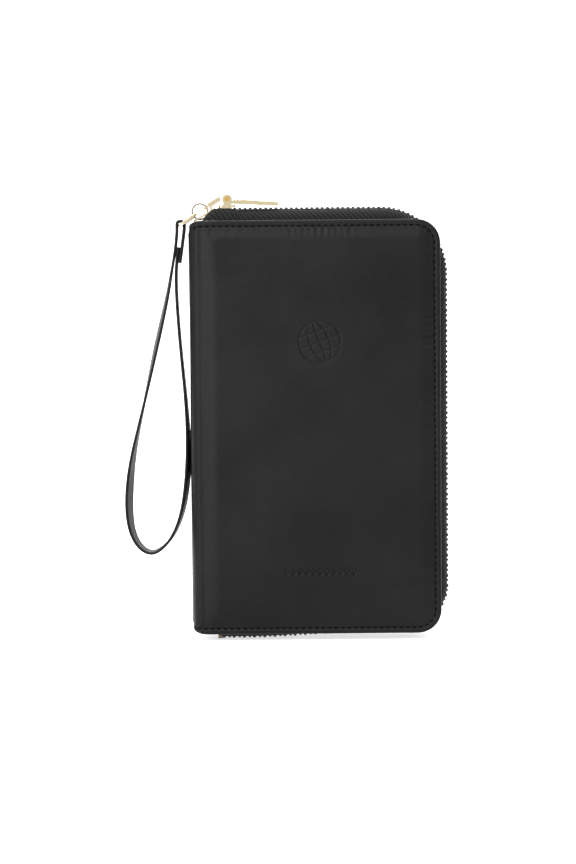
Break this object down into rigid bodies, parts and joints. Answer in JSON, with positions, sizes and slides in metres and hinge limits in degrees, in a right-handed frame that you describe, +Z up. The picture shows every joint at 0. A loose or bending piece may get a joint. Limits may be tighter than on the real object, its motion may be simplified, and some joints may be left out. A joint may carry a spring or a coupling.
{
  "type": "travel document organizer",
  "caption": "Zip-around travel wallet with padded leather covers, card, passport and boarding-pass pockets, a zipped coin page and a wrist strap.",
  "frame": {"origin": "bottom centre of the closed wallet's box without the strap and its rings, on the surface it stands on", "axes": "+X from the spine to the free zipped edge, +Y from the front cover to the back cover, +Z up the wallet's height to the zip slider"},
  "size_m": [0.1636, 0.026, 0.2259],
  "materials": {
    "cover_leather": "fine pebbled grain, soft sheen",
    "inner_leather": "smooth, satin",
    "strap_leather": "smooth with painted edges",
    "lining_cloth": "fine twill",
    "foam": "matte",
    "board": "matte grey board",
    "zip_tape": "woven",
    "zip_coil": "satin",
    "gold_metal": "polished pale gold"
  },
  "bodies": {
    "back_cover": {"back_leather": "cover_leather", "back_foam": "foam", "back_board": "board", "back_lining": "lining_cloth", "boarding_pass_pocket": "inner_leather", "passport_pocket": "inner_leather", "back_zip_tape": "zip_tape", "back_zip_coil": "zip_coil", "back_zip_stop": "gold_metal"},
    "spine": {"spine_leather": "cover_leather", "spine_board": "board", "spine_foam": "foam", "spine_lining": "lining_cloth", "zip_end_clip": "gold_metal"},
    "front_cover": {"front_leather": "cover_leather", "front_foam": "foam", "front_board": "board", "front_lining": "lining_cloth", "card_pocket_1": "inner_leather", "card_pocket_2": "inner_leather", "card_pocket_3": "inner_leather", "slip_pocket": "inner_leather", "front_zip_tape": "zip_tape", "front_zip_coil": "zip_coil", "front_zip_stop": "gold_metal"},
    "page": {"divider_page": "inner_leather", "page_gusset": "inner_leather", "coin_pocket_header": "inner_leather", "coin_pocket_panel": "inner_leather", "coin_pocket_rim": "inner_leather", "coin_zip_tape": "zip_tape", "coin_zip_coil": "zip_coil"},
    "coin_slider": {"coin_slider": "gold_metal"},
    "coin_pull": {"coin_pull": "gold_metal"},
    "zip_slider": {"slider_body": "gold_metal", "pull_pin": "gold_metal"},
    "zip_pull": {"pull_tab": "gold_metal"},
    "ring": {"split_ring": "gold_metal"},
    "d_ring": {"d_ring": "gold_metal"},
    "strap": {"strap_band": "strap_leather"}
  },
  "joints": [
    {"name": "spine_fold", "type": "hinge", "parent": "back_cover", "child": "spine", "pos_m": [-0.0635, 0.0113, 0.108], "axis": [0, 0, -1], "range_deg": [0, 90]},
    {"name": "front_fold", "type": "hinge", "parent": "spine", "child": "front_cover", "pos_m": [-0.0635, -0.0113, 0.108], "axis": [0, 0, -1], "range_deg": [0, 90]},
    {"name": "page_turn", "type": "hinge", "parent": "spine", "child": "page", "pos_m": [-0.06085, 0.0004, 0.108], "axis": [0, 0, 1], "range_deg": [0, 31.5]},
    {"name": "zip_slide", "type": "slide", "parent": "back_cover", "child": "zip_slider", "axis": [1, 0, 0], "range_m": [0, 0.07]},
    {"name": "pull_swing", "type": "hinge", "parent": "zip_slider", "child": "zip_pull", "pos_m": [-0.046, 0, 0.2234], "axis": [0, -1, 0], "range_deg": [0, 110]},
    {"name": "coin_zip_slide", "type": "slide", "parent": "page", "child": "coin_slider", "axis": [1, 0, 0], "range_m": [0, 0.085]},
    {"name": "coin_pull_swing", "type": "hinge", "parent": "coin_slider", "child": "coin_pull", "pos_m": [-0.04675, 0, 0.1766], "axis": [0, 1, 0], "range_deg": [-50, 50]},
    {"name": "ring_swing", "type": "hinge", "parent": "spine", "child": "ring", "pos_m": [-0.0566, 0, 0.21945], "axis": [0, 1, 0], "range_deg": [0, 20]},
    {"name": "d_ring_swing", "type": "hinge", "parent": "ring", "child": "d_ring", "pos_m": [-0.0619, 0, 0.21588], "axis": [0, 1, 0], "range_deg": [0, 40]},
    {"name": "strap_swing", "type": "hinge", "parent": "d_ring", "child": "strap", "pos_m": [-0.06975, 0, 0.2104], "axis": [0, 1, 0], "range_deg": [0, 50]}
  ],
  "couplings": [
    {"joint": "front_fold", "follows": "spine_fold", "ratio": 1},
    {"joint": "page_turn", "follows": "spine_fold", "ratio": 0.35}
  ]
}
